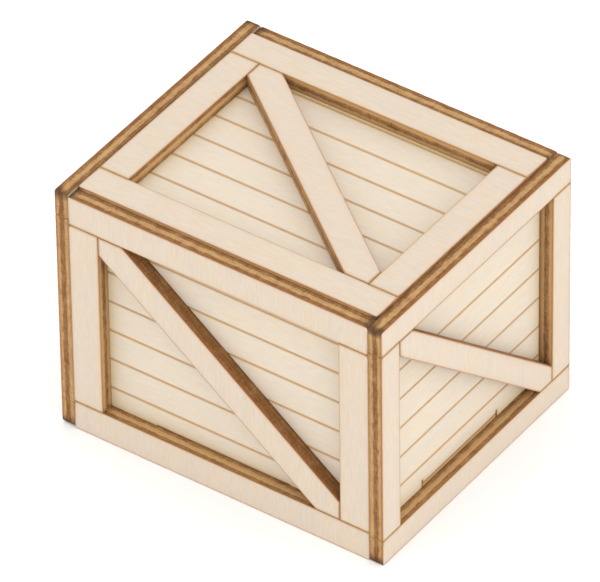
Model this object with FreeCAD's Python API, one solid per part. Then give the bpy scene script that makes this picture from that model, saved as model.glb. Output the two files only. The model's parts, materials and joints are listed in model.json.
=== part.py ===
import FreeCAD, Part
import math
import os

# A miniature shipping crate laser-cut from 3 mm plywood.
# Six scored panels make a box, and a frame of five boards is glued over each of its six sides.
# The lid is the top panel with its frame: it lies in the mouth of the crate and lifts off.
# Origin: the middle of the base. +X to the right along the front, +Y to the back, +Z up.

# Outer sizes (mm)
WIDTH = 74.0
DEPTH = 62.4
WALL_HEIGHT = 56.4

# Plywood and laser cuts
PLY = 3.0
KERF = 0.1
SCORE_WIDTH = 0.3
SCORE_DEPTH = 0.3

# The box, floor frame and lid sit this much higher than the four standing frames,
# so the lid stands proud of them and the floor's tabs show over the side rails.
BOX_RISE = 0.4

# The left frame was glued on a little higher than the other three standing frames.
LEFT_FRAME_RISE = 0.3

# Widths of the boards in each pair of frames
FRONT_BOARD = 6.65
FRONT_BRACE = 6.7
SIDE_BOARD = 5.85
SIDE_BRACE = 5.35
LID_RAIL = 6.9
LID_STILE = 6.65
LID_BRACE = 6.5

# Planks drawn by the scored lines on the walls, and on the floor and lid, where the middle
# line lies a little in front of the crate's middle
PLANK = 7.04
FLAT_PLANK = 6.94
FLAT_MIDDLE_LINE = -0.26

# Centre tabs that key the floor and the lid into the walls
SIDE_TAB = 24.4
FRONT_TAB = 30.0
TAB_GAP = 0.25

# The laser ran this far past the upper corners of the floor notches in the side walls
SIDE_OVERCUT = 0.7

# Free play of the lid
LID_PLAY = 0.12
LID_SEAT_GAP = 0.05

# Sizes that follow
BOX_WIDTH = WIDTH - 2 * PLY
BOX_DEPTH = DEPTH - 2 * PLY
BOX_BOTTOM = PLY + BOX_RISE
BOX_TOP = WALL_HEIGHT - PLY + BOX_RISE
INNER_WIDTH = BOX_WIDTH - 2 * PLY
INNER_DEPTH = BOX_DEPTH - 2 * PLY


def block(x0, x1, y0, y1, z0, z1):
    """A rectangular block between two corners."""
    return Part.makeBox(x1 - x0, y1 - y0, z1 - z0, FreeCAD.Vector(x0, y0, z0))


def cut_all(shape, tools):
    """The shape with every tool taken away."""
    for tool in tools:
        shape = shape.cut(tool)
    return shape


# --- The standing walls of the box -------------------------------------------------
#
# Each wall covers the end of the one to its left and butts against the one to its right,
# so all four are a plywood thickness short, and their middles lie off the crate's.
# Every wall is drawn as the front one and turned into place.

def tab_block(tab, distance, clearance, z0, z1):
    """The space of a wall's centre tab, out to the wall's outer face at the given distance."""
    half = tab / 2 + clearance
    return block(-PLY / 2 - half, -PLY / 2 + half, -distance, -distance + 2 * PLY, z0, z1)


def turned(shape, turn):
    """The shape turned about the Z axis, in degrees."""
    shape.rotate(FreeCAD.Vector(0, 0, 0), FreeCAD.Vector(0, 0, 1), turn)
    return shape


def wall(length, distance, tab, turn, overcut=0.0):
    """
    A scored wall panel, notched in its bottom and top edges for the floor's and lid's tabs.
    The sides of the floor notch run on above it as slits of the overcut's height.
    """
    panel = block(-length / 2, length / 2 - PLY, -distance, -distance + PLY, BOX_BOTTOM, BOX_TOP)
    notch_top = BOX_BOTTOM + PLY + TAB_GAP
    notch = tab_block(tab, distance, TAB_GAP, BOX_BOTTOM - 1, notch_top)
    slit_top = notch_top + overcut
    slits = tab_block(tab, distance, TAB_GAP, BOX_BOTTOM, slit_top)
    tools = [
        notch,
        slits.cut(tab_block(tab, distance, 0.0, BOX_BOTTOM, slit_top)),
        tab_block(tab, distance, TAB_GAP, BOX_TOP - PLY, BOX_TOP + 1),
    ]
    height = WALL_HEIGHT - PLY - PLANK
    while height > BOX_BOTTOM:
        tools.append(block(-length, length, -distance - 1, -distance + SCORE_DEPTH,
                           height - SCORE_WIDTH / 2, height + SCORE_WIDTH / 2))
        height -= PLANK
    return turned(cut_all(panel, tools), turn)


# --- The floor and the lid panel ---------------------------------------------------

def tabbed_panel(z0, scored_face, play):
    """A flat panel with a centre tab on each edge, scored along X on its outer face."""
    z1 = z0 + PLY
    panel = block(play - INNER_WIDTH / 2, INNER_WIDTH / 2 - play,
                  play - INNER_DEPTH / 2, INNER_DEPTH / 2 - play, z0, z1)
    for tab, distance, turn in (
        (FRONT_TAB, BOX_DEPTH / 2, 0),
        (SIDE_TAB, BOX_WIDTH / 2, 90),
        (FRONT_TAB, BOX_DEPTH / 2, 180),
        (SIDE_TAB, BOX_WIDTH / 2, 270),
    ):
        panel = panel.fuse(turned(tab_block(tab, distance - play, 0.0, z0, z1), turn))
    panel = panel.removeSplitter()
    scores = []
    for step in range(-3, 4):
        line = FLAT_MIDDLE_LINE + step * FLAT_PLANK
        scores.append(block(-WIDTH, WIDTH, line - SCORE_WIDTH / 2, line + SCORE_WIDTH / 2,
                            scored_face - SCORE_DEPTH, scored_face + SCORE_DEPTH))
    return cut_all(panel, scores)


# --- The five-board frames ---------------------------------------------------------

def flat_board(corners):
    """A board of plywood thickness with the given outline, lying on the XY plane."""
    points = [FreeCAD.Vector(x, y, 0) for x, y in corners]
    points.append(points[0])
    face = Part.Face(Part.makePolygon(points))
    return face.extrude(FreeCAD.Vector(0, 0, PLY))


def flat_strip(u0, u1, v0, v1):
    """A straight board between two corners of its outline."""
    return flat_board([(u0, v0), (u1, v0), (u1, v1), (u0, v1)])


def flat_frame(width, height, rail, stile, brace):
    """
    The five boards of one frame, seen from outside and centred on the origin.
    The rails run the full width, the stiles stand between them, and the brace fills
    the opening's diagonal from top left to bottom right, its ends cut to the corners.
    """
    half_width = width / 2
    half_height = height / 2
    stile_top = half_height - rail - KERF
    boards = {}
    boards["top"] = flat_strip(-half_width, half_width, half_height - rail, half_height)
    boards["bottom"] = flat_strip(-half_width, half_width, -half_height, rail - half_height)
    boards["left"] = flat_strip(-half_width, stile - half_width, -stile_top, stile_top)
    boards["right"] = flat_strip(half_width - stile, half_width, -stile_top, stile_top)

    reach_u = half_width - stile - KERF
    angle = math.degrees(math.atan2(half_height - rail, half_width - stile))
    band = flat_strip(-width, width, -brace / 2, brace / 2)
    band.rotate(FreeCAD.Vector(0, 0, 0), FreeCAD.Vector(0, 0, 1), -angle)
    boards["brace"] = band.common(flat_strip(-reach_u, reach_u, -stile_top, stile_top))
    return boards


def stood_up(board, turn, distance, centre_height):
    """A flat board stood upright, turned about Z and moved out to its side of the crate."""
    board.rotate(FreeCAD.Vector(0, 0, 0), FreeCAD.Vector(1, 0, 0), 90)
    board.translate(FreeCAD.Vector(0, -distance, centre_height))
    board.rotate(FreeCAD.Vector(0, 0, 0), FreeCAD.Vector(0, 0, 1), turn)
    return board


def standing_frame(name, width, rail, brace, turn, distance, left, right, rise=0.0):
    """The five boards of an upright frame, named after the side and their places."""
    places = {"top": "top_rail", "bottom": "bottom_rail", "left": left + "_stile",
              "right": right + "_stile", "brace": "brace"}
    frame = {}
    for key, board in flat_frame(width, WALL_HEIGHT, rail, rail, brace).items():
        frame[name + "_" + places[key]] = stood_up(board, turn, distance, rise + WALL_HEIGHT / 2)
    return frame


def lying_frame(name, play, z0, face_down):
    """The five boards of the lid's frame, or of the floor's frame with its face down."""
    places = {"top": "back_rail", "bottom": "front_rail", "left": "left_stile",
              "right": "right_stile", "brace": "brace"}
    frame = {}
    boards = flat_frame(BOX_WIDTH - 2 * play, BOX_DEPTH - 2 * play, LID_RAIL, LID_STILE, LID_BRACE)
    for key, board in boards.items():
        if face_down and key == "brace":
            board = board.mirror(FreeCAD.Vector(0, 0, 0), FreeCAD.Vector(1, 0, 0))
        board.translate(FreeCAD.Vector(0, 0, z0))
        frame[name + "_" + places[key]] = board
    return frame


# --- The crate ---------------------------------------------------------------------

lid_panel_bottom = BOX_TOP - PLY + LID_SEAT_GAP
lid_frame_bottom = lid_panel_bottom + PLY

pieces = {
    "front_panel": wall(BOX_WIDTH, BOX_DEPTH / 2, FRONT_TAB, 0),
    "right_panel": wall(BOX_DEPTH, BOX_WIDTH / 2, SIDE_TAB, 90, SIDE_OVERCUT),
    "back_panel": wall(BOX_WIDTH, BOX_DEPTH / 2, FRONT_TAB, 180),
    "left_panel": wall(BOX_DEPTH, BOX_WIDTH / 2, SIDE_TAB, 270, SIDE_OVERCUT),
    "floor_panel": tabbed_panel(BOX_BOTTOM, BOX_BOTTOM, 0.0),
    "lid_panel": tabbed_panel(lid_panel_bottom, lid_frame_bottom, LID_PLAY),
}

pieces.update(standing_frame("front", BOX_WIDTH, FRONT_BOARD, FRONT_BRACE, 0, BOX_DEPTH / 2, "left", "right"))
pieces.update(standing_frame("back", BOX_WIDTH, FRONT_BOARD, FRONT_BRACE, 180, BOX_DEPTH / 2, "right", "left"))
pieces.update(standing_frame("right", DEPTH, SIDE_BOARD, SIDE_BRACE, 90, BOX_WIDTH / 2, "front", "back"))
pieces.update(standing_frame("left", DEPTH, SIDE_BOARD, SIDE_BRACE, -90, BOX_WIDTH / 2, "back", "front",
                             LEFT_FRAME_RISE))
pieces.update(lying_frame("lid", LID_PLAY, lid_frame_bottom, False))
pieces.update(lying_frame("bottom", 0.0, BOX_BOTTOM - PLY, True))

os.makedirs("parts", exist_ok=True)
for node, shape in pieces.items():
    shape.exportStep("parts/" + node + ".step")
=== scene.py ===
import json
import math

import bpy
import numpy as np
from bpy.props import FloatProperty, FloatVectorProperty, PointerProperty
from bpy.types import Operator, Panel, PropertyGroup
from mathutils import Matrix, Vector


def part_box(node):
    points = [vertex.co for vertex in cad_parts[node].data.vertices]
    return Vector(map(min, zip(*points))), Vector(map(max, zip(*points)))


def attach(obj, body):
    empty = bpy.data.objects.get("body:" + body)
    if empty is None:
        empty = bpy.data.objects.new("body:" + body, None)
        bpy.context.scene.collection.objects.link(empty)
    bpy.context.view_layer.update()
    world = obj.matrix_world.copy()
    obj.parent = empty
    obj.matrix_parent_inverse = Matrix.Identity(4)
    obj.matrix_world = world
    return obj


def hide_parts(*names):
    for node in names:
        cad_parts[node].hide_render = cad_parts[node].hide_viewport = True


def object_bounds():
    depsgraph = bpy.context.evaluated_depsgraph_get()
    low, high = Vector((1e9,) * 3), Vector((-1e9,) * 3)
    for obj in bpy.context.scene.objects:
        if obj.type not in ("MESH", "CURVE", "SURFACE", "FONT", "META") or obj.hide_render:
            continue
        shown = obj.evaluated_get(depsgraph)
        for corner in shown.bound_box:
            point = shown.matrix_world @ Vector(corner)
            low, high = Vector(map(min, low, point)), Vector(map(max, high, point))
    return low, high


bl_info = {
    "name": "Miniature plywood shipping crate",
    "version": (1, 0, 0),
    "blender": (4, 5, 0),
    "location": "3D View > Sidebar > Crate",
    "description": "Cuts the sheets of a small laser-cut plywood crate with a lift-off lid",
    "category": "Add Mesh",
}

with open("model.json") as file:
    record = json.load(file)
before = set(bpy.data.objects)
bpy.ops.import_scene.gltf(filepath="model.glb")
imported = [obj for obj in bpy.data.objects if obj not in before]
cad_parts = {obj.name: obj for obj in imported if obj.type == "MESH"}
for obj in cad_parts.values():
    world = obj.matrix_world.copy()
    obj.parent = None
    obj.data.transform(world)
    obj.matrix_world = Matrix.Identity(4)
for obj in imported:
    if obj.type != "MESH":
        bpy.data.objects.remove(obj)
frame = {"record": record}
CAD_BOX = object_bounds()

MM = 0.001
BODY_OF = {
    node: body
    for body, nodes in frame["record"]["behaviour"]["bodies"].items()
    for node in nodes
}

# Each side of the crate seen from outside: its right, its up and its outward directions.
SIDES = {
    "front": ((1, 0, 0), (0, 0, 1), (0, -1, 0)),
    "right": ((0, 1, 0), (0, 0, 1), (1, 0, 0)),
    "back": ((-1, 0, 0), (0, 0, 1), (0, 1, 0)),
    "left": ((0, -1, 0), (0, 0, 1), (-1, 0, 0)),
    "lid": ((1, 0, 0), (0, 1, 0), (0, 0, 1)),
    "bottom": ((1, 0, 0), (0, -1, 0), (0, 0, -1)),
}
STANDING = ("front", "right", "back", "left")
LONG_WALLS = ("front", "back")

# The face grain of a sheet, along a side's right or up direction
ALONG_RIGHT = np.array([1.0, 0.0])
ALONG_UP = np.array([0.0, 1.0])

# The rails of each side's frame, then its stiles
FRAME_BOARDS = {
    "front": ("top_rail", "bottom_rail", "left_stile", "right_stile"),
    "back": ("top_rail", "bottom_rail", "left_stile", "right_stile"),
    "left": ("top_rail", "bottom_rail", "front_stile", "back_stile"),
    "right": ("top_rail", "bottom_rail", "front_stile", "back_stile"),
    "bottom": ("front_rail", "back_rail", "left_stile", "right_stile"),
    "lid": ("front_rail", "back_rail", "left_stile", "right_stile"),
}


# --- What a user can change --------------------------------------------------------

class CrateCuts(PropertyGroup):
    """Sizes of the laser cuts, tabs and scored lines."""

    kerf: FloatProperty(
        name="Kerf", description="Gap the laser leaves between neighbouring boards",
        default=0.1 * MM, unit="LENGTH", precision=5)
    arris: FloatProperty(
        name="Arris", description="Rounding of every cut edge",
        default=0.05 * MM, unit="LENGTH", precision=5)
    corner: FloatProperty(
        name="Corner", description="Rounding of a frame's four outer corners",
        default=0.6 * MM, unit="LENGTH", precision=5)
    plank: FloatProperty(
        name="Plank width", description="Distance between the walls' scored plank lines",
        default=7.04 * MM, unit="LENGTH", precision=5)
    flat_plank: FloatProperty(
        name="Lid plank width",
        description="Distance between the lid's and floor's scored plank lines",
        default=6.94 * MM, unit="LENGTH", precision=5)
    flat_middle: FloatProperty(
        name="Lid middle line",
        description="How far behind the crate's middle the lid's and floor's middle plank line is",
        default=-0.26 * MM, unit="LENGTH", precision=5)
    score_width: FloatProperty(
        name="Score width", description="Width of a scored line",
        default=0.4 * MM, unit="LENGTH", precision=5)
    score_depth: FloatProperty(
        name="Score depth", description="Depth of a scored line",
        default=0.12 * MM, unit="LENGTH", precision=5)
    front_tab: FloatProperty(
        name="Front tab", description="Width of the tabs in the front and back walls",
        default=30.0 * MM, unit="LENGTH", precision=5)
    side_tab: FloatProperty(
        name="Side tab", description="Width of the tabs in the left and right walls",
        default=24.4 * MM, unit="LENGTH", precision=5)
    tab_gap: FloatProperty(
        name="Tab gap", description="Clearance of a notch around its tab",
        default=0.25 * MM, unit="LENGTH", precision=5)
    overcut: FloatProperty(
        name="Overcut",
        description="How far the laser ran past the floor notches of the side walls",
        default=0.7 * MM, unit="LENGTH", precision=5)
    front_brace: FloatProperty(
        name="Front brace", description="Width of the front and back braces",
        default=6.7 * MM, unit="LENGTH", precision=5)
    side_brace: FloatProperty(
        name="Side brace", description="Width of the left and right braces",
        default=5.35 * MM, unit="LENGTH", precision=5)
    lid_brace: FloatProperty(
        name="Lid brace", description="Width of the lid's and the floor's braces",
        default=6.5 * MM, unit="LENGTH", precision=5)


class CrateFinish(PropertyGroup):
    """Colours of the plywood and of the laser's burn marks."""

    veneer: FloatVectorProperty(
        name="Veneer", description="Clean face veneer of the frames",
        default=(0.594, 0.508, 0.416), subtype="COLOR")
    panel_veneer: FloatVectorProperty(
        name="Panel veneer", description="Clean face veneer of the panels",
        default=(0.636, 0.560, 0.460), subtype="COLOR")
    toast: FloatVectorProperty(
        name="Toast", description="Veneer scorched beside a cut",
        default=(0.370, 0.180, 0.072), subtype="COLOR")
    score: FloatVectorProperty(
        name="Score", description="Floor of a scored line",
        default=(0.430, 0.258, 0.110), subtype="COLOR")
    long_grain: FloatVectorProperty(
        name="Long grain", description="Cut edge of a ply whose fibres run along the cut",
        default=(0.515, 0.308, 0.133), subtype="COLOR")
    end_grain: FloatVectorProperty(
        name="End grain", description="Cut edge of a ply whose fibres end at the cut",
        default=(0.165, 0.066, 0.016), subtype="COLOR")
    ember: FloatVectorProperty(
        name="Ember", description="Red-brown line where a cut meets the outer face",
        default=(0.330, 0.115, 0.030), subtype="COLOR")
    # Also drawn as painted shade in the corners of the frames' openings
    soot_and_corner_shade: FloatVectorProperty(
        name="Soot", description="Where the laser paused and charred the wood",
        default=(0.058, 0.026, 0.010), subtype="COLOR")
    scorch_reach: FloatProperty(
        name="Scorch reach", description="How far the scorch spreads over the face from a cut",
        default=0.28 * MM, unit="LENGTH", precision=5)


class CrateStage(PropertyGroup):
    """Camera, floor and lights."""

    azimuth: FloatProperty(
        name="Azimuth", description="Camera's turn to the right of the crate's front",
        default=math.radians(35.58), subtype="ANGLE")
    elevation: FloatProperty(
        name="Elevation", description="Camera's height above the floor, as an angle",
        default=math.radians(39.54), subtype="ANGLE")
    roll: FloatProperty(
        name="Roll", description="Camera's turn about its own axis",
        default=math.radians(-0.83), subtype="ANGLE")
    distance: FloatProperty(
        name="Distance", description="Distance from the camera to the crate",
        default=1.8319, unit="LENGTH")
    aim_right: FloatProperty(
        name="Aim right", description="How far right of the base's middle the camera aims",
        default=-3.1 * MM, unit="LENGTH", precision=5)
    aim_up: FloatProperty(
        name="Aim up", description="How far above the base's middle the camera aims",
        default=21.68 * MM, unit="LENGTH", precision=5)
    lens: FloatProperty(
        name="Lens", description="Focal length in millimetres on a 36 mm wide sensor",
        default=577.9)
    floor: FloatVectorProperty(
        name="Floor", description="Colour of the floor",
        default=(0.92, 0.92, 0.92), subtype="COLOR")
    ambient: FloatProperty(
        name="Ambient", description="Strength of the even light from all round",
        default=1.15)
    right_lamp: FloatProperty(
        name="Right lamp", description="Power of the large soft light at the right",
        default=5.3, unit="POWER")
    front_lamp: FloatProperty(
        name="Front lamp", description="Power of the large soft light in front",
        default=2.1, unit="POWER")
    top_lamp: FloatProperty(
        name="Top lamp", description="Power of the large soft light overhead",
        default=2.7, unit="POWER")


# --- Shader expressions ------------------------------------------------------------

DULL_SHINE = 0.25


class Signal:
    """A socket of a recipe that can stand in an arithmetic expression."""

    def __init__(self, recipe, socket):
        self.recipe = recipe
        self.socket = socket

    def _math(self, operation, first, second):
        return self.recipe.add("ShaderNodeMath", {"operation": operation}, {0: first, 1: second})

    def __add__(self, other):
        return self._math("ADD", self, other)

    def __radd__(self, other):
        return self._math("ADD", other, self)

    def __sub__(self, other):
        return self._math("SUBTRACT", self, other)

    def __rsub__(self, other):
        return self._math("SUBTRACT", other, self)

    def __mul__(self, other):
        return self._math("MULTIPLY", self, other)

    def __rmul__(self, other):
        return self._math("MULTIPLY", other, self)


class Recipe:
    """A material whose nodes are written as expressions."""

    def __init__(self, name):
        self.material = bpy.data.materials.new(name)
        self.material.use_nodes = True
        self.nodes = self.material.node_tree.nodes
        self.links = self.material.node_tree.links
        self.nodes.clear()

    def add(self, kind, settings, inputs, output=0):
        """A node of a kind with its settings made first, then its inputs filled or linked."""
        node = self.nodes.new(kind)
        for key, value in settings.items():
            setattr(node, key, value)
        for key, value in inputs.items():
            if isinstance(value, Signal):
                self.links.new(value.socket, node.inputs[key])
            else:
                node.inputs[key].default_value = value
        return Signal(self, node.outputs[output])

    def attribute(self, name):
        """A vector that the mesh carries at its points."""
        return self.add("ShaderNodeAttribute", {"attribute_name": name}, {}, "Vector")

    def parts(self, vector):
        """The three parts of a vector."""
        return [self.add("ShaderNodeSeparateXYZ", {}, {0: vector}, axis) for axis in range(3)]

    def ramp(self, value, low, high):
        """0 below low, 1 above high and a smooth slope between them."""
        return self.add("ShaderNodeMapRange", {"interpolation_type": "SMOOTHSTEP"},
                        {"Value": value, "From Min": low, "From Max": high})

    def blend(self, factor, first, second):
        """The first colour turning into the second as factor goes from 0 to 1."""
        return self.add("ShaderNodeMix", {"data_type": "RGBA"},
                        {0: factor, 6: first, 7: second}, 2)

    def tinted(self, colour, factor):
        """The colour made darker or lighter by a factor."""
        return self.add("ShaderNodeMix", {"data_type": "RGBA", "blend_type": "MULTIPLY"},
                        {0: 1.0, 6: colour, 7: factor}, 2)

    def fading(self, distance, rate):
        """1 at no distance, thinning out by the exponential of the rate times the distance."""
        return self.add("ShaderNodeMath", {"operation": "EXPONENT"}, {0: distance * -rate})

    def swung(self, value, *swings):
        """The value with noises added, each about its mean and times its weight."""
        for noise, weight in swings:
            value = value + (noise - 0.5) * weight
        return value

    def fibres(self, vector, along, across, through, detail, rough):
        """Noise drawn out along the grain: features per millimetre along, across and through."""
        stretched = self.add("ShaderNodeVectorMath", {"operation": "MULTIPLY"},
                             {0: vector, 1: (along, across, through)})
        return self.add("ShaderNodeTexNoise", {},
                        {"Vector": stretched, "Scale": 1.0, "Detail": detail, "Roughness": rough})

    def finish(self, colour, roughness, normal):
        """A plain dielectric surface with the given colour, roughness and normal."""
        shader = self.add("ShaderNodeBsdfPrincipled", {}, {
            "Base Color": colour, "Roughness": roughness, "Normal": normal,
            "Specular IOR Level": DULL_SHINE}, "BSDF")
        out = self.nodes.new("ShaderNodeOutputMaterial")
        self.links.new(shader.socket, out.inputs["Surface"])
        return self.material


def rgba(colour):
    """A colour with full alpha."""
    return (*colour, 1.0)


def tint(colour, factors):
    """A colour with its red, green and blue times the factors, and full alpha."""
    return rgba([part * factor for part, factor in zip(colour, factors)])


# --- The look of the plywood ---------------------------------------------------------

# Noises of the wood and the burn: features per millimetre along, across and through the grain,
# then the number of finer layers and how strong those are
NOISES = {
    "broad": (0.035, 0.30, 0.3, 2.0, 0.5),
    "streak": (0.10, 1.3, 1.3, 2.0, 0.5),
    "fibre": (0.40, 3.2, 3.2, 3.0, 0.6),
    "hue": (0.30, 2.8, 2.8, 2.0, 0.6),
    "pore": (0.8, 5.0, 5.0, 1.0, 0.5),
    "scorch": (0.6, 0.6, 0.6, 2.0, 0.5),
    "wander": (0.7, 0.7, 0.7, 3.0, 0.6),
    "strand": (0.40, 0.40, 4.0, 2.0, 0.6),
    "pulse": (2.4, 2.4, 0.5, 2.0, 0.6),
    "speck": (3.0, 3.0, 3.0, 3.0, 0.75),
    "blotch": (0.30, 0.30, 0.30, 2.0, 0.5),
}

# Slopes, each from where it starts to where it is full. Of noise:
PORES = (0.64, 0.78)
WARM_STREAKS = (0.60, 0.90)
# of millimetres from the middle of a scored line:
SCORED = (0.10, 0.50)
# of how strongly a cut is burnt:
BURNT_CUT = (0.1, 0.4)
INSIDE_OPENING = (0.0, 0.2)
# of the sheet's thickness, where the core ply begins and ends:
CORE_BEGINS = (0.25, 0.40)
CORE_ENDS = (0.60, 0.75)
# of how light a cut ply is, from end grain to long grain:
PLY_LIGHT = (-0.2, 1.15)
# of millimetres below the nearer face, where the cut edge begins and where its dark rim ends:
EDGE_BEGINS = (0.012, 0.05)
DARK_RIM = (0.05, 0.6)
# of millimetres below the outer face:
EMBER_LINE = (0.1, 0.55)
# painted shade of an opening's recess, with some scorch, deepening down its edge towards the panel:
SCORCH_AND_SHADE_INSIDE = (0.4, 2.2)
# and of millimetres from a corner, for soot at a blank's corners and painted shade at an opening's
# corners:
SOOT_AND_SHADE_CORNER = (0.2, 2.2)

# Factors on the veneer's red, green and blue in a warm streak, and in the golden tint round a
# panel's opening, which is partly smoke stain and partly painted light bounced from the frame's
# burnt edges
WARM_TINT = (0.99, 0.84, 0.60)
STAIN_AND_BOUNCE_TINT = (1.02, 0.91, 0.50)

# How fast the smoke stain with its painted bounce light thins out per millimetre, and the scorch
# per reach
STAIN_AND_BOUNCE_FALL = 1.2
SCORCH_FALL = 0.6

# How light end grain is, what fibres along the cut add, and what a burn takes from each
END_LIGHT, LONG_LIGHT = 0.32, 0.72
END_BURN, LONG_BURN = 0.46, 0.35


def face_colour(recipe, kind, finish, noise, reach, score, away, burn):
    """
    The outer and inner faces: clean veneer with a broad tone, warm streaks, fine fibres and
    sparse short pores, a golden tint on a panel round the opening of its frame, partly smoke stain
    and partly painted light bounced from the frame's burnt edges, and scorch in the scored lines
    and beside the cuts.
    """
    veneer = finish.panel_veneer if kind == "panel" else finish.veneer
    tone = recipe.swung(
        1.0, (noise["broad"], 0.10), (noise["streak"], 0.14), (noise["fibre"], 0.20))
    face = recipe.tinted(rgba(veneer), tone - noise["pore"] * 0.07)
    warmth = noise["broad"] * 0.3 + noise["streak"] * 0.4 + noise["hue"] * 0.7
    face = recipe.blend(recipe.ramp(warmth, *WARM_STREAKS) * 0.4, face, tint(veneer, WARM_TINT))
    if kind == "panel":
        # Painted golden light bounced from the frame's burnt edges, with some smoke stain, fading
        # away from the opening
        stain_and_bounce = recipe.fading(away, STAIN_AND_BOUNCE_FALL)
        face = recipe.blend(stain_and_bounce * 0.75, face, tint(veneer, STAIN_AND_BOUNCE_TINT))

    scorch_mm = finish.scorch_reach / MM
    uneven = 0.7 + noise["scorch"] * 0.6
    line = 1.0 - recipe.ramp(score, *SCORED)
    face = recipe.blend(line * (uneven * 0.4 + 0.5), face, rgba(finish.score))
    halo = recipe.fading(reach, SCORCH_FALL / scorch_mm)
    beside_cut = (1.0 - recipe.ramp(reach, 0.05, 1.25 * scorch_mm)) * 0.7 + halo * 0.25
    toast = recipe.blend(recipe.ramp(burn, *BURNT_CUT), rgba(finish.score), rgba(finish.toast))
    return recipe.blend(beside_cut * uneven * 0.95, face, toast)


def edge_colour(recipe, kind, finish, noise, depth, near_face, with_grain, away, burn, sheet_mm):
    """
    The cut edge: three plies with crossed grain, their glue lines wandering a little, rippled
    through the thickness by the laser's pulses and mottled where it burnt unevenly. The
    rims by the two faces are darker, with a red-brown line at the outer one. A frame's openings
    darken towards the panel, a painted shade of the recess with some scorch. Its blank's corners
    are sooty, and its opening's corners carry a painted shade in the soot colour.
    """
    wander = (noise["wander"] - 0.5) * 0.8
    level = depth + wander
    begins, ends = (
        recipe.ramp(level, sheet_mm * low, sheet_mm * high)
        for low, high in (CORE_BEGINS, CORE_ENDS))
    core = begins * (1.0 - ends)
    length_wise = with_grain + core * (1.0 - 2.0 * with_grain)
    light = recipe.swung(
        length_wise * (LONG_LIGHT - burn * LONG_BURN) + END_LIGHT - burn * END_BURN,
        (noise["strand"], 1.1), (noise["pulse"], 0.55),
        (noise["speck"], 0.75), (noise["blotch"], 0.6))
    edge = recipe.blend(
        recipe.ramp(light, *PLY_LIGHT), rgba(finish.end_grain), rgba(finish.long_grain))
    rim = 1.0 - recipe.ramp(near_face, *DARK_RIM)
    edge = recipe.tinted(edge, 1.0 - rim * (0.10 + burn * 0.25))
    ember_line = 1.0 - recipe.ramp(depth + wander * 0.4, *EMBER_LINE)
    ember = ember_line * (0.30 + noise["speck"] * 0.5 + burn * 0.2)
    edge = recipe.blend(ember, edge, rgba(finish.ember))
    if kind != "panel":
        inside_opening = 1.0 - recipe.ramp(burn, *INSIDE_OPENING)
        # Painted shade, with some scorch: an opening's edges darken with depth towards the panel
        scorch_and_shade = inside_opening * with_grain * recipe.ramp(depth, *SCORCH_AND_SHADE_INSIDE)
        edge = recipe.tinted(edge, 1.0 - scorch_and_shade * 0.22)
        # Soot at the blank's corners; at the opening's corners the same colour is painted shade
        ragged = recipe.swung(away, (noise["speck"], 1.6), (noise["blotch"], 2.0))
        soot_and_corner_shade = 1.0 - recipe.ramp(ragged, *SOOT_AND_SHADE_CORNER)
        edge = recipe.blend(soot_and_corner_shade * 0.8, edge, rgba(finish.soot_and_corner_shade))
    return edge


def plywood(name, kind, finish, sheet_mm):
    """
    Three-ply birch cut by laser. The mesh carries three vectors at its points:
    "grain" is the place in the sheet in millimetres, along, across and through the face grain.
    "cut" is the distance from the cut and the depth below the outer face, both in millimetres,
    and how far the cut runs with the face grain, from 0 to 1.
    "mark" is the distance from a scored line, then from a corner of the blank or of the opening,
    or for a panel from the opening of its frame, both in millimetres, and how strongly the cut
    is burnt, from 0 in an opening to 1 along a brace, and below 0 where a panel's cut is painted
    paler, a painted light on the shaded edges of the floor's and lid's panels.
    """
    recipe = Recipe(name)
    grain = recipe.attribute("grain")
    reach, depth, with_grain = recipe.parts(recipe.attribute("cut"))
    score, away, burn = recipe.parts(recipe.attribute("mark"))
    noise = {key: recipe.fibres(grain, *numbers) for key, numbers in NOISES.items()}
    noise["pore"] = recipe.ramp(noise["pore"], *PORES)
    near_face = recipe.add("ShaderNodeMath", {"operation": "MINIMUM"},
                           {0: depth, 1: sheet_mm - depth})

    face = face_colour(recipe, kind, finish, noise, reach, score, away, burn)
    edge = edge_colour(
        recipe, kind, finish, noise, depth, near_face, with_grain, away, burn, sheet_mm)
    on_edge = recipe.ramp(near_face, *EDGE_BEGINS)
    roughness = 0.62 + noise["fibre"] * 0.12 + on_edge * 0.18
    burnt_relief = on_edge * (noise["pulse"] * 2.0 + noise["speck"])
    relief = noise["fibre"] * 0.6 + noise["streak"] * 0.4 - noise["pore"] * 0.5 + burnt_relief
    normal = recipe.add("ShaderNodeBump", {},
                        {"Strength": 0.35, "Distance": 0.03 * MM, "Height": relief})
    return recipe.finish(recipe.blend(on_edge, face, edge), roughness, normal)


def material_for(side, kind):
    """The plywood of one side's panel or frame, made once."""
    name = f"{side}_{kind}_plywood"
    if name in bpy.data.materials:
        return bpy.data.materials[name]
    bottom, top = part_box("lid_brace")
    return plywood(name, kind, bpy.context.scene.crate_finish, (top.z - bottom.z) / MM)


# --- Sheets of plywood worked out as arrays ------------------------------------------

# Shares of the first gap: lines beside one mark aren't this close to another, and lines this
# close are one. Evenly spaced lines keep a share of their step from those beside a mark.
NOT_CLOSER = 0.9
SAME_LINE = 0.3
SPARE_STEP = 0.3

# The cut edge from the outer face to the inner one: inset in arrises and depth in sheets.
EDGE_PROFILE = (
    (1.0, 0.0), (0.3, 0.005), (0.0, 0.017), (0.0, 0.17), (0.0, 0.32),
    (0.5, 0.335), (0.1, 0.35), (0.1, 0.5), (0.1, 0.65), (0.5, 0.665),
    (0.0, 0.68), (0.0, 0.83), (0.0, 0.98), (0.05, 0.995), (0.25, 1.0),
)
# Rings of the profile this close to a face belong to its arris
ARRIS_RINGS = 0.02
# Rings keep this far apart where a scored line runs out over the edge
RING_GAP = 0.004 * MM
# The scored groove's sides curve in by this power of the share of its half width
GROOVE_POWER = 0.7

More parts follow.
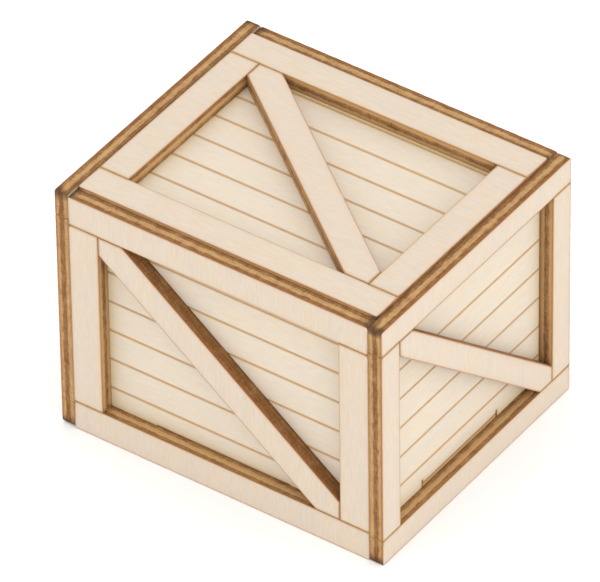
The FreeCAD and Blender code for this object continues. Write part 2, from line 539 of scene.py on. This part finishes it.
# The cut edge wavers by two crossed waves, in radians per millimetre
WAVES = ((2.31, 1.87), (-1.13, 3.03))
WAVE_SHIFT = 900
# How far it wavers on the blank's outside and inside it, in arrises
OUTER_WAVER, INNER_WAVER = 1.3, 0.3
# How far it stands out again between its arrises, also in arrises: on the outside of the lid's
# blank, on the outside of the others and inside them
LID_SWELL, OUTER_SWELL, INNER_SWELL = 1.6, 0.0, 0.9

# The scorch lies this much further over the faces at a joint between two boards
JOINT_SCORCH = 0.12 * MM
JOINT_REACH = 0.9 * MM

# How strongly a cut is burnt: along a brace, round a blank, and on the standing and lying panels;
# the lying panels' value is below 0, which paints their cuts paler as painted light on edges in
# shade
LONG_BRACE_BURN, SHORT_BRACE_BURN = 1.0, 0.6
BLANK_BURN = 0.45
LID_BURN_SHARE = 0.5
STANDING_BURN, LYING_PAINTED_LIGHT_BURN = 0.5, -0.5
NEAR_BLANK = 0.5 * MM
# How far a panel's cuts run with its grain
PANEL_WITH_GRAIN = 0.6
# The painted shade in an opening's corners, drawn in the soot colour, and the soot in the crate's
# back right quarter count from this much further off, in millimetres
OPENING_SHADE_START = 0.7
FAR_SOOT_START = 0.9
# A distance from a scored line that stands for no line at all, in millimetres
NO_SCORE = 50.0
# A sheet's start in the noise: remainders of its seed, spread by this many millimetres
SEED_WRAPS = (97, 61, 37)
SEED_SPREAD = 7.3


def corner_distance(points, corners):
    """Distance from each point to the nearest of the corners."""
    return np.linalg.norm(points[:, None] - corners[None], axis=2).min(1)


def side_axes(side):
    """The side's right, up and outward directions as the rows of a matrix."""
    return np.array(SIDES[side], float)


def extent(node, side):
    """A CAD node's lowest and highest places along a side's right, up and outward directions."""
    corners = np.array([list(point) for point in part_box(node)]) @ side_axes(side).T
    return corners.min(0), corners.max(0)


def ruled(low, high, step, marks, gaps):
    """
    Positions from low to high: the ends, the marks, lines at the given gaps beside each of
    them, and evenly spaced lines no more than a step apart in what is left between.
    """
    stops = np.array([low, high, *marks])
    beside = (stops[:, None, None] + np.array(gaps)[:, None] * np.array([-1, 1])).ravel()
    inside = (beside > low) & (beside < high)
    clear = np.abs(beside[:, None] - stops).min(1) > gaps[0] * NOT_CLOSER
    even = np.linspace(low, high, int((high - low) / step) + 2)
    free = np.abs(even[:, None] - stops).min(1) > gaps[-1] + step * SPARE_STEP
    lines = np.sort(np.concatenate([stops, beside[inside & clear], even[free]]))
    return lines[np.append(True, np.diff(lines) > gaps[0] * SAME_LINE)]


def segment_distance(points, corners):
    """Distance from each point to the nearest side of a closed outline."""
    start = corners[None]
    run = np.roll(corners, -1, 0)[None] - start
    offset = points[:, None] - start
    share = np.clip((offset * run).sum(2) / (run ** 2).sum(2), 0, 1)
    return np.linalg.norm(offset - share[..., None] * run, axis=2).min(1)


def inside_outline(points, corners):
    """Whether each point lies inside a closed outline, by counting the sides a ray crosses."""
    x, y = points[:, 0, None], points[:, 1, None]
    x0, y0 = corners.T
    x1, y1 = np.roll(corners, -1, 0).T
    crosses = (y0 > y) != (y1 > y)
    rise = np.where(y1 == y0, 1.0, y1 - y0)
    return (crosses & (x < x0 + (y - y0) * (x1 - x0) / rise)).sum(1) % 2 == 1


def face_cells(grid, outline):
    """
    The four-sided cells of a grid of points whose centres lie inside the outline, and the
    points that they use.
    """
    rows, columns = grid.shape[:2]
    centres = (grid[:-1, :-1] + grid[1:, :-1] + grid[1:, 1:] + grid[:-1, 1:]).reshape(-1, 2) / 4
    kept = inside_outline(centres, outline).reshape(rows - 1, columns - 1)
    index = np.arange(rows * columns).reshape(rows, columns)
    around_cell = (index[:-1, :-1], index[1:, :-1], index[1:, 1:], index[:-1, 1:])
    cells = np.stack([corner[kept] for corner in around_cell], 1)
    used, cells = np.unique(cells, return_inverse=True)
    return grid.reshape(-1, 2)[used], cells.reshape(-1, 4)


def rim_of(flat, cells):
    """
    The rim's sides, directed with the sheet on their left: those that no other cell shares. Then
    the points round it, and for each the way outwards along the mitre of its two sides,
    long enough to move both sides by one.
    """
    count = len(flat)
    sides = np.concatenate([cells[:, [corner, (corner + 1) % 4]] for corner in range(4)])
    ahead = sides[:, 0] * count + sides[:, 1]
    behind = sides[:, 1] * count + sides[:, 0]
    rim = sides[~np.isin(ahead, behind)]
    run = flat[rim[:, 1]] - flat[rim[:, 0]]
    outward = np.stack([run[:, 1], -run[:, 0]], 1) / np.linalg.norm(run, axis=1)[:, None]
    total = np.zeros((count, 2))
    np.add.at(total, rim[:, 0], outward)
    np.add.at(total, rim[:, 1], outward)
    around = np.unique(rim)
    return rim, around, total[around] / ((total[around] ** 2).sum(1) / 2)[:, None]


def edge_waver(around_points, shift, is_outer, side):
    """How far the cut lies inside its outline, and how far it swells out between the arrises."""
    arris = bpy.context.scene.crate_cuts.arris
    place = around_points / MM
    first, second = (place @ wave for wave in WAVES)
    waver = 0.5 + 0.25 * np.sin(first + shift * WAVE_SHIFT) + 0.25 * np.sin(second + 2.0)
    waver = waver * np.where(is_outer, OUTER_WAVER, INNER_WAVER) * arris
    outer_swell = LID_SWELL if side == "lid" else OUTER_SWELL
    return waver, np.where(is_outer, outer_swell, INNER_SWELL) * arris


def sheet_piece(node, side, grid, outline, grain, score_lines, kind, blank):
    """
    A flat piece cut from a sheet. Its two faces are grids of points across its outline, and its cut
    edge is the edge profile carried round the outline: each point of the outline moves inwards
    by the profile's inset along the mitre of its two sides, and down by the profile's depth.
    Scored lines sink the outer face in a rounded V across the side's up direction.
    The blank is the outline of the whole sheet that the piece is cut from.
    """
    cuts = bpy.context.scene.crate_cuts
    low, high = extent(node, side)
    sheet = high[2] - low[2]
    flat, cells = face_cells(grid, outline)
    rim, around, mitre = rim_of(flat, cells)
    count = len(flat)

    # Scored lines
    to_score = np.full(count, NO_SCORE * MM)
    if len(score_lines):
        to_score = np.abs(flat[:, 1, None] - np.array(score_lines)).min(1)
    groove = np.clip(1 - to_score / (cuts.score_width / 2), 0, 1) ** GROOVE_POWER
    sink = cuts.score_depth * groove

    # The edge's rings; the first and last carry the whole face with them
    is_outer = segment_distance(flat[around], blank) < cuts.kerf
    waver, swell = edge_waver(flat[around], high[0], is_outer, side)
    rings, places, depths, reach = [], [], [], []
    start = 0
    for order, (inset, depth) in enumerate(EDGE_PROFILE):
        between_arrises = ARRIS_RINGS < depth < 1 - ARRIS_RINGS
        inwards = inset * cuts.arris + waver - swell * between_arrises
        moved = flat[around] - mitre * inwards[:, None]
        if order in (0, len(EDGE_PROFILE) - 1):
            layer = flat.copy()
            layer[around] = moved
            rings.append(start + around)
            depths.append(sink if order == 0 else np.full(count, sheet))
            reach.append(segment_distance(layer, outline))
        else:
            layer = moved
            rings.append(start + np.arange(len(around)))
            below = np.maximum(depth * sheet, sink[around] + order * RING_GAP)
            depths.append(np.minimum(below, sheet))
            reach.append(np.zeros(len(around)))
        places.append(layer)
        start += len(layer)
    places, depths, reach = (np.concatenate(parts) for parts in (places, depths, reach))

    # Faces and the wall between them
    quads = [cells, cells[:, ::-1] + len(places) - count]
    first, second = np.searchsorted(around, rim).T
    for upper, lower in zip(rings[:-1], rings[1:]):
        quads.append(np.stack([upper[first], lower[first], lower[second], upper[second]], 1))
    axes = side_axes(side)
    points = places @ axes[:2] + (high[2] - depths)[:, None] * axes[2]

    # What the material reads
    across = np.array([-grain[1], grain[0]])
    with_grain = np.full(len(places), 0.5)
    along_rim = np.abs(mitre @ across) / np.linalg.norm(mitre, axis=1)
    for ring in rings:
        with_grain[ring] = PANEL_WITH_GRAIN if kind == "panel" else along_rim
    depth_mm = depths / MM
    depth_mm[:count] = 0.0
    score_mm = np.full(len(places), NO_SCORE)
    if len(score_lines):
        score_mm[:count] = to_score / MM
    away, burn, joint_scorch = burn_marks(kind, side, places, points, blank)
    reach = np.maximum(reach - joint_scorch, 0.0)
    sheet_places = np.stack([places @ grain / MM, places @ across / MM, depths / MM], 1)
    carried = {
        "grain": sheet_places + sheet_start(side, kind),
        "cut": np.stack([reach / MM, depth_mm, with_grain], 1),
        "mark": np.stack([score_mm, away, burn], 1),
    }
    return add_piece(node, points, np.concatenate(quads), carried, material_for(side, kind))


def sheet_start(side, kind):
    """Where in the noise a side's sheet starts, so that no two sheets have the same grain."""
    seed = sum(ord(letter) * (place + 3) for place, letter in enumerate(side + kind))
    return np.array([seed % wrap for wrap in SEED_WRAPS], float) * SEED_SPREAD


def burn_marks(kind, side, places, points, blank):
    """
    How far the places of a piece are, in millimetres, for a frame from soot and the painted corner
    shade, for a panel from the smoke stain with its painted bounce light, how strongly their cuts
    are burnt, and how much further the scorch lies over the faces at joints.
    """
    opening = frame_opening(side)
    to_opening = segment_distance(places, opening)
    if kind == "panel":
        # Lying panels' burn is below 0, which paints their cuts paler: painted light on edges in
        # shade
        burn = np.full(len(places), STANDING_BURN if side in STANDING else LYING_PAINTED_LIGHT_BURN)
        return to_opening / MM, burn, 0.0

    to_blank_corner = corner_distance(places, blank) / MM
    to_blank_corner += np.where((points[:, 0] > 0) & (points[:, 1] > 0), FAR_SOOT_START, 0.0)
    to_opening_corner = corner_distance(places, opening) / MM
    # An opening's corners get the soot colour as painted shade, counted from a little further off
    away = np.minimum(to_blank_corner, to_opening_corner + OPENING_SHADE_START)
    if kind == "frame":
        middle = opening.mean(0)
        half = np.abs(opening[0] - middle)
        beside, along_joint = np.abs(places - middle).T - half[:, None]
        kerf = bpy.context.scene.crate_cuts.kerf
        joint = (beside > -kerf) & (np.abs(along_joint) < JOINT_REACH)
        near_blank = segment_distance(places, blank) < NEAR_BLANK
        burn = np.where(near_blank, BLANK_BURN, 0.0)
    else:
        joint = to_opening < JOINT_REACH
        strength = LONG_BRACE_BURN if side in LONG_WALLS else SHORT_BRACE_BURN
        burn = np.full(len(places), strength)
    burn = burn * (LID_BURN_SHARE if side == "lid" else 1.0)
    return away, burn, joint * JOINT_SCORCH


def add_piece(node, points, quads, carried, material):
    """Makes the mesh object of a piece, which rides on its body and stands for its CAD node."""
    mesh = bpy.data.meshes.new(node + "_ply")
    mesh.vertices.add(len(points))
    mesh.vertices.foreach_set("co", points.astype(np.float32).ravel())
    mesh.loops.add(quads.size)
    mesh.loops.foreach_set("vertex_index", quads.astype(np.int32).ravel())
    mesh.polygons.add(len(quads))
    mesh.polygons.foreach_set("loop_start", np.arange(0, quads.size, 4, dtype=np.int32))
    mesh.polygons.foreach_set("use_smooth", np.ones(len(quads), bool))
    for name, values in carried.items():
        layer = mesh.attributes.new(name, "FLOAT_VECTOR", "POINT")
        layer.data.foreach_set("vector", values.astype(np.float32).ravel())
    mesh.update(calc_edges=True)
    if mesh.validate():
        raise RuntimeError(f"the mesh of {node} had faults")
    mesh.materials.append(material)
    piece = bpy.data.objects.new(node + "_ply", mesh)
    bpy.context.scene.collection.objects.link(piece)
    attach(piece, BODY_OF[node])
    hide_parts(node)
    return piece


# --- The kinds of piece --------------------------------------------------------------

EDGE_GAPS = (0.12 * MM, 0.25 * MM, 0.45 * MM, 0.8 * MM)
SCORE_GAPS = (0.075 * MM, 0.15 * MM, 0.25 * MM, 0.45 * MM)
FACE_STEP = 1.2 * MM
ALONG_STEP = 0.8 * MM
BOARD_LENGTH = 20 * MM

# Grid lines and brace tips closer than this are one
MERGED = 0.05 * MM
# A brace's tip this close to its side is on it
ON_SIDE = 0.1 * MM
# Gaps beside a mark, with a little to spare
SPARE_GAP = 1.1


def rectangle(low, high):
    """The four corners of a box's outline, anticlockwise."""
    return np.array([
        (low[0], low[1]), (high[0], low[1]), (high[0], high[1]), (low[0], high[1])])


def frame_blank(side):
    """The outline of the blank that a side's whole frame is cut from."""
    spans = [extent(f"{side}_{place}", side) for place in FRAME_BOARDS[side]]
    return rectangle(np.min([low for low, _ in spans], 0), np.max([high for _, high in spans], 0))


def frame_opening(side):
    """The outline of the opening between the two rails and two stiles of a side's frame."""
    spans = [extent(f"{side}_{place}", side) for place in FRAME_BOARDS[side]]
    return rectangle(
        (min(high[0] for _, high in spans[2:]), min(high[1] for _, high in spans[:2])),
        (max(low[0] for low, _ in spans[2:]), max(low[1] for low, _ in spans[:2])),
    )


def rounded(grid, blank):
    """
    The grid with the blank's corners rounded. A point in the square between a corner and the
    rounding's centre keeps its direction from that centre, and its larger offset becomes
    its distance, which turns the square into a quarter of a disc.
    """
    radius = bpy.context.scene.crate_cuts.corner
    middle = blank.mean(0)
    for place in blank:
        centre = place + np.sign(middle - place) * radius
        offset = grid - centre
        within = ((offset * np.sign(place - middle)) > 0).all(-1)
        size = np.maximum(np.linalg.norm(offset, axis=-1), 1e-9)
        scale = np.where(within, np.abs(offset).max(-1) / size, 1.0)
        grid = centre + offset * scale[..., None]
    return grid


def straight_board(node, side, grain):
    """A rail or stile: a rectangular grid over its CAD node's outline."""
    low, high = extent(node, side)
    u, v = (
        ruled(start, end, ALONG_STEP if end - start > BOARD_LENGTH else FACE_STEP, (), EDGE_GAPS)
        for start, end in zip(low[:2], high[:2]))
    blank = frame_blank(side)
    grid = rounded(np.stack(np.meshgrid(u, v, indexing="ij"), 2), blank)
    return sheet_piece(node, side, grid, rectangle(low, high), grain, (), "frame", blank)


def brace_board(node, side, grain, width):
    """
    A brace: points lie along its length and across its width, on the line from the opening's
    top left corner to its bottom right one. At each place across, the length runs from one side of
    the opening to the other, so that the ends follow the opening's corners.
    """
    low, high = extent(node, side)
    kerf = bpy.context.scene.crate_cuts.kerf
    middle = (low[:2] + high[:2]) / 2
    reach = (high[:2] - low[:2]) / 2
    slope = math.atan2(reach[1] + kerf, reach[0] + kerf)
    length_way = np.array([math.cos(slope), -math.sin(slope)])
    width_way = np.array([math.sin(slope), math.cos(slope)])

    def ends(across):
        """Where the brace starts and stops at a place across its width."""
        to_right = (reach[0] - across * width_way[0]) / length_way[0]
        to_bottom = (reach[1] + across * width_way[1]) / -length_way[1]
        to_left = (-reach[0] - across * width_way[0]) / length_way[0]
        to_top = (reach[1] - across * width_way[1]) / length_way[1]
        return np.maximum(to_left, to_top), np.minimum(to_right, to_bottom)

    half = width / 2
    tip = reach[0] * width_way[0] - reach[1] * width_way[1]
    tips = [place for place in sorted((tip, -tip)) if abs(place) < half - ON_SIDE]
    if len(tips) == 2 and tips[1] - tips[0] < MERGED:
        tips = [0.0]
    v = ruled(-half, half, FACE_STEP, tips, EDGE_GAPS)
    first, last = ends(v)
    span = (last - first).mean()
    share = ruled(0, span, ALONG_STEP, (), EDGE_GAPS) / span
    along = first + share[:, None] * (last - first)
    grid = middle + along[..., None] * length_way + v[None, :, None] * width_way
    low_side = [grid[0, 0], grid[-1, 0]]
    high_side = [grid[-1, -1], grid[0, -1]]
    tip_columns = [np.abs(v - place).argmin() for place in tips]
    end_tips = [grid[-1, column] for column in tip_columns]
    start_tips = [grid[0, column] for column in reversed(tip_columns)]
    outline = np.array([*low_side, *end_tips, *high_side, *start_tips])
    return sheet_piece(node, side, grid, outline, grain, (), "brace", frame_blank(side))


def panel(node, side, outline, score_lines):
    """
    A panel: a rectangular grid whose cells outside the outline are left out. Its lines lie at the
    outline's corners and beside them, and closely about each scored line.
    """
    u_marks = np.unique(np.round(outline[:, 0], 7))
    v_marks = np.unique(np.round(outline[:, 1], 7))
    u = ruled(u_marks[0], u_marks[-1], FACE_STEP, u_marks[1:-1], EDGE_GAPS)
    v_edges = ruled(v_marks[0], v_marks[-1], FACE_STEP, v_marks[1:-1], EDGE_GAPS)
    v = ruled(v_marks[0], v_marks[-1], FACE_STEP, score_lines, SCORE_GAPS)
    to_score = np.abs(v_edges[:, None] - np.array(score_lines)).min(1)
    to_mark = np.abs(v_edges[:, None] - v_marks).min(1)
    beside_mark = (to_mark < EDGE_GAPS[-1] * SPARE_GAP) & (to_score > SCORE_GAPS[-1] * SPARE_GAP)
    extra = v_edges[beside_mark | np.isin(np.round(v_edges, 7), v_marks)]
    apart = np.abs(v[:, None] - extra).min(1) > MERGED
    apart &= np.abs(v[:, None] - v_marks).min(1) > EDGE_GAPS[0] * NOT_CLOSER
    v = np.sort(np.concatenate([v[apart], extra]))
    grid = np.stack(np.meshgrid(u, v, indexing="ij"), 2)
    return sheet_piece(node, side, grid, outline, ALONG_RIGHT, score_lines, "panel", outline)


def standing_outline(node, side, tab, overcut):
    """
    A wall's outline: a rectangle notched for the floor's tab below and the lid's tab above.
    The two upper corners of the floor notch run on upwards as slits of the overcut's height.
    """
    low, high = extent(node, side)
    sheet = high[2] - low[2]
    gap = bpy.context.scene.crate_cuts.tab_gap
    left, right = -sheet / 2 - tab / 2 - gap, -sheet / 2 + tab / 2 + gap
    floor_notch = low[1] + sheet + gap
    slit = floor_notch + overcut
    lid_notch = high[1] - sheet
    arch = [(left, slit), (left + gap, slit), (left + gap, floor_notch),
            (right - gap, floor_notch), (right - gap, slit), (right, slit)]
    if not overcut:
        arch = [(left, floor_notch), (right, floor_notch)]
    return np.array([
        (low[0], low[1]), (left, low[1]), *arch, (right, low[1]), (high[0], low[1]),
        (high[0], high[1]), (right, high[1]), (right, lid_notch),
        (left, lid_notch), (left, high[1]), (low[0], high[1]),
    ])


def lying_outline(node, side):
    """
    The floor's or lid panel's outline: a rectangle with a tab standing out of every edge. The tabs
    lie half a sheet off the edges' middles, the same way round as the walls.
    """
    cuts = bpy.context.scene.crate_cuts
    low, high = extent(node, side)
    sheet = high[2] - low[2]
    out_u, out_v = high[0], high[1]
    in_u, in_v = out_u - sheet, out_v - sheet
    shift = sheet / 2 if side == "lid" else -sheet / 2
    half_u, half_v = cuts.front_tab / 2, cuts.side_tab / 2
    half_outline = np.array([
        (-in_u, -in_v), (-shift - half_u, -in_v), (-shift - half_u, -out_v),
        (-shift + half_u, -out_v), (-shift + half_u, -in_v), (in_u, -in_v),
        (in_u, -shift - half_v), (out_u, -shift - half_v),
        (out_u, -shift + half_v), (in_u, -shift + half_v),
    ])
    return np.concatenate([half_outline, -half_outline])


def frame_boards(side, width, grain):
    """The rails, stiles and brace of one side's frame."""
    for place in FRAME_BOARDS[side]:
        straight_board(f"{side}_{place}", side, grain)
    brace_board(f"{side}_brace", side, grain, width)


# --- Operators -----------------------------------------------------------------------

# Counted down from the top of a wall, and either way from the middle of the floor and lid
WALL_LINES = range(1, 8)
FLAT_LINES = range(-3, 4)


class CRATE_OT_cut_walls(Operator):
    """Cut the four standing walls, scored into planks and notched for the floor and lid"""

    bl_idname = "crate.cut_walls"
    bl_label = "Cut walls"

    def execute(self, context):
        cuts = context.scene.crate_cuts
        for side in STANDING:
            node = side + "_panel"
            low, high = extent(node, side)
            top = extent("front_top_rail", "front")[1][1] - (high[2] - low[2])
            lines = [top - step * cuts.plank for step in WALL_LINES]
            tab, overcut = cuts.side_tab, cuts.overcut
            if side in LONG_WALLS:
                tab, overcut = cuts.front_tab, 0.0
            panel(node, side, standing_outline(node, side, tab, overcut), lines)
        return {"FINISHED"}


class CRATE_OT_cut_floor(Operator):
    """Cut the floor panel with its centre tabs"""

    bl_idname = "crate.cut_floor"
    bl_label = "Cut floor"

    def execute(self, context):
        cuts = context.scene.crate_cuts
        lines = [step * cuts.flat_plank - cuts.flat_middle for step in FLAT_LINES]
        panel("floor_panel", "bottom", lying_outline("floor_panel", "bottom"), lines)
        return {"FINISHED"}


class CRATE_OT_cut_lid(Operator):
    """Cut the lid panel with the centre tabs that drop into the walls"""

    bl_idname = "crate.cut_lid"
    bl_label = "Cut lid"

    def execute(self, context):
        cuts = context.scene.crate_cuts
        lines = [step * cuts.flat_plank + cuts.flat_middle for step in FLAT_LINES]
        panel("lid_panel", "lid", lying_outline("lid_panel", "lid"), lines)
        return {"FINISHED"}


class CRATE_OT_cut_standing_frames(Operator):
    """Cut the rails, stiles and braces of the four upright frames, their grain upright"""

    bl_idname = "crate.cut_standing_frames"
    bl_label = "Cut upright frames"

    def execute(self, context):
        cuts = context.scene.crate_cuts
        for side in STANDING:
            width = cuts.front_brace if side in LONG_WALLS else cuts.side_brace
            frame_boards(side, width, ALONG_UP)
        return {"FINISHED"}


class CRATE_OT_cut_floor_frame(Operator):
    """Cut the boards of the frame under the floor"""

    bl_idname = "crate.cut_floor_frame"
    bl_label = "Cut floor frame"

    def execute(self, context):
        frame_boards("bottom", context.scene.crate_cuts.lid_brace, ALONG_RIGHT)
        return {"FINISHED"}


class CRATE_OT_cut_lid_frame(Operator):
    """Cut the boards of the frame on the lid"""

    bl_idname = "crate.cut_lid_frame"
    bl_label = "Cut lid frame"

    def execute(self, context):
        frame_boards("lid", context.scene.crate_cuts.lid_brace, ALONG_RIGHT)
        return {"FINISHED"}


# The floor reaches this far each way, in this many points; the lamps are this large and far off
FLOOR_REACH = 3
FLOOR_POINTS = 13
LAMP_SIZE = 0.9
LAMP_DISTANCE = 1.2
SENSOR_MM = 36.0


class CRATE_OT_set_stage(Operator):
    """Lay the floor and set the lights and the camera"""

    bl_idname = "crate.set_stage"
    bl_label = "Set stage"

    def execute(self, context):
        scene = context.scene
        stage = scene.crate_stage
        scene.view_settings.view_transform = "Standard"
        self.lay_floor(scene, stage)
        self.place_lights(scene, stage)
        self.place_camera(scene, stage)
        return {"FINISHED"}

    def lay_floor(self, scene, stage):
        """Lays a flat grid under the crate, in slightly rough paper."""
        reach = np.linspace(-FLOOR_REACH, FLOOR_REACH, FLOOR_POINTS)
        grid = np.stack(np.meshgrid(reach, reach, indexing="ij"), 2).reshape(-1, 2)
        index = np.arange(len(grid)).reshape(FLOOR_POINTS, FLOOR_POINTS)
        around_cell = (index[:-1, :-1], index[1:, :-1], index[1:, 1:], index[:-1, 1:])
        quads = np.stack(around_cell, 2).reshape(-1, 4)
        mesh = bpy.data.meshes.new("floor")
        mesh.from_pydata([(x, y, CAD_BOX[0].z) for x, y in grid], [], quads.tolist())
        recipe = Recipe("floor_paper")
        tooth = recipe.add("ShaderNodeTexNoise", {}, {"Scale": 400.0, "Detail": 2.0})
        normal = recipe.add("ShaderNodeBump", {},
                            {"Strength": 0.05, "Distance": 0.05 * MM, "Height": tooth})
        mesh.materials.append(recipe.finish(rgba(stage.floor), 0.9, normal))
        floor = bpy.data.objects.new("floor", mesh)
        scene.collection.objects.link(floor)

    def place_lights(self, scene, stage):
        """Sets the even light from all round and three large soft lamps facing the crate."""
        world = scene.world or bpy.data.worlds.new("studio")
        scene.world = world
        world.use_nodes = True
        sky = world.node_tree.nodes["Background"]
        sky.inputs["Color"].default_value = (1.0, 1.0, 1.0, 1.0)
        sky.inputs["Strength"].default_value = stage.ambient
        for name, direction, power in (
            ("right_lamp", (1.0, -0.25, 0.2), stage.right_lamp),
            ("front_lamp", (-0.2, -1.0, 0.2), stage.front_lamp),
            ("top_lamp", (0.0, -0.1, 1.0), stage.top_lamp),
        ):
            lamp = bpy.data.lights.new(name, "AREA")
            lamp.energy = power
            lamp.size = LAMP_SIZE
            away = Vector(direction).normalized()
            holder = bpy.data.objects.new(name, lamp)
            scene.collection.objects.link(holder)
            facing = away.to_track_quat("Z", "Y").to_matrix().to_4x4()
            holder.matrix_world = Matrix.Translation(away * LAMP_DISTANCE) @ facing

    def place_camera(self, scene, stage):
        """Stands the camera at its azimuth and elevation, rolled, aiming near the base's middle."""
        back = Vector((
            math.sin(stage.azimuth) * math.cos(stage.elevation),
            -math.cos(stage.azimuth) * math.cos(stage.elevation),
            math.sin(stage.elevation),
        ))
        level = Vector((0, 0, 1)).cross(back).normalized()
        upright = back.cross(level)
        right = math.cos(stage.roll) * level + math.sin(stage.roll) * upright
        up = math.cos(stage.roll) * upright - math.sin(stage.roll) * level
        low, high = CAD_BOX
        middle = Vector(((low.x + high.x) / 2, (low.y + high.y) / 2, low.z))
        place = middle + right * stage.aim_right + up * stage.aim_up + back * stage.distance
        data = bpy.data.cameras.new("camera")
        data.lens = stage.lens
        data.sensor_width = SENSOR_MM
        camera = bpy.data.objects.new("camera", data)
        scene.collection.objects.link(camera)
        turn = Matrix((right, up, back)).transposed().to_4x4()
        camera.matrix_world = Matrix.Translation(place) @ turn
        scene.camera = camera


class CRATE_PT_workshop(Panel):
    """Sidebar panel with the crate's sizes, colours and steps"""

    bl_idname = "CRATE_PT_workshop"
    bl_label = "Plywood crate"
    bl_space_type = "VIEW_3D"
    bl_region_type = "UI"
    bl_category = "Crate"

    def draw(self, context):
        for name, settings in GROUPS.items():
            box = self.layout.box()
            for setting in settings.__annotations__:
                box.prop(getattr(context.scene, name), setting)
        for step in STEPS:
            self.layout.operator(step.bl_idname)


GROUPS = {"crate_cuts": CrateCuts, "crate_finish": CrateFinish, "crate_stage": CrateStage}
STEPS = (
    CRATE_OT_cut_walls,
    CRATE_OT_cut_floor,
    CRATE_OT_cut_lid,
    CRATE_OT_cut_standing_frames,
    CRATE_OT_cut_floor_frame,
    CRATE_OT_cut_lid_frame,
    CRATE_OT_set_stage,
)


def register():
    """Registers the settings, operators and panel."""
    for cls in (*GROUPS.values(), *STEPS, CRATE_PT_workshop):
        bpy.utils.register_class(cls)
    for name, group in GROUPS.items():
        setattr(bpy.types.Scene, name, PointerProperty(type=group))


def unregister():
    """Takes the settings, operators and panel away again."""
    for name in GROUPS:
        delattr(bpy.types.Scene, name)
    for cls in reversed((*GROUPS.values(), *STEPS, CRATE_PT_workshop)):
        bpy.utils.unregister_class(cls)


def main():
    """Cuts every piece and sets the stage."""
    register()
    for step in STEPS:
        category, name = step.bl_idname.split(".")
        getattr(getattr(bpy.ops, category), name)()


if __name__ == "__main__":
    main()
